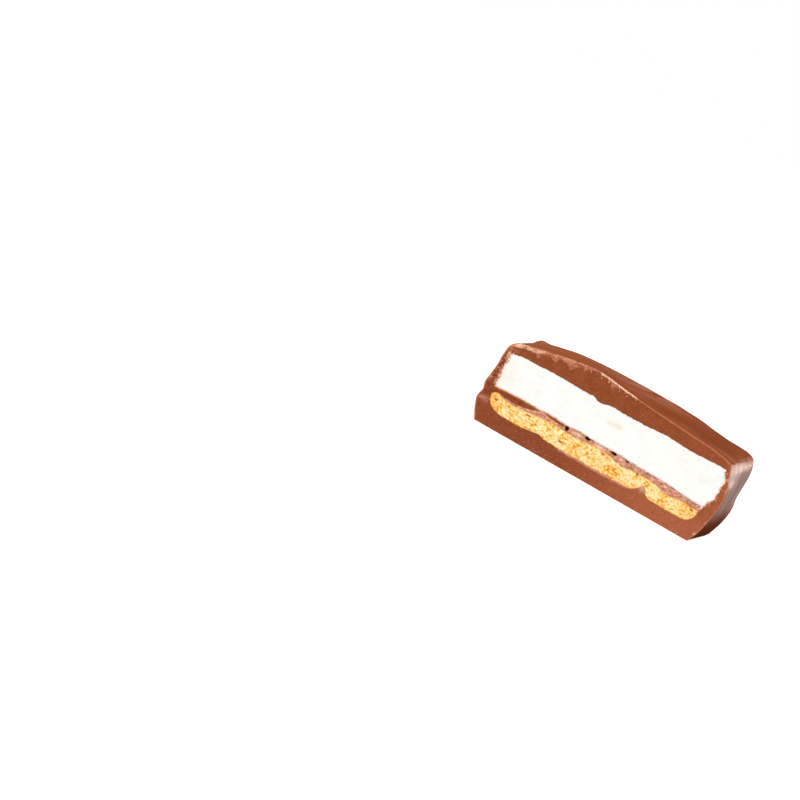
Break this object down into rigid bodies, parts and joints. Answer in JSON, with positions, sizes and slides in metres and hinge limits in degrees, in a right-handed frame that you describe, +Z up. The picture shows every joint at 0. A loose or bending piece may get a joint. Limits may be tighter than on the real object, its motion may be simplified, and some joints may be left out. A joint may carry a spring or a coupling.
{
  "type": "chocolate covered smore half",
  "caption": "Half of a chocolate covered smore, cut through the middle to show marshmallow and graham cracker inside a milk chocolate coat.",
  "frame": {"origin": "centre of the flat foot, under the middle of the piece's box", "axes": "+X along the cut face towards its right end as seen facing the cut, +Y from the cut face into the piece, +Z up from the foot"},
  "size_m": [0.0712, 0.034, 0.0278],
  "materials": {
    "milk_chocolate": "set milk chocolate, glossy where it was poured and matt where it was cut",
    "marshmallow_foam": "matt fine-pored foam",
    "seam_chocolate": "matt cut chocolate",
    "baked_cracker": "matt porous baked crumb"
  },
  "bodies": {
    "root": {"chocolate_coating": "milk_chocolate", "marshmallow": "marshmallow_foam", "chocolate_layer": "seam_chocolate", "graham_cracker": "baked_cracker"}
  },
  "joints": []
}
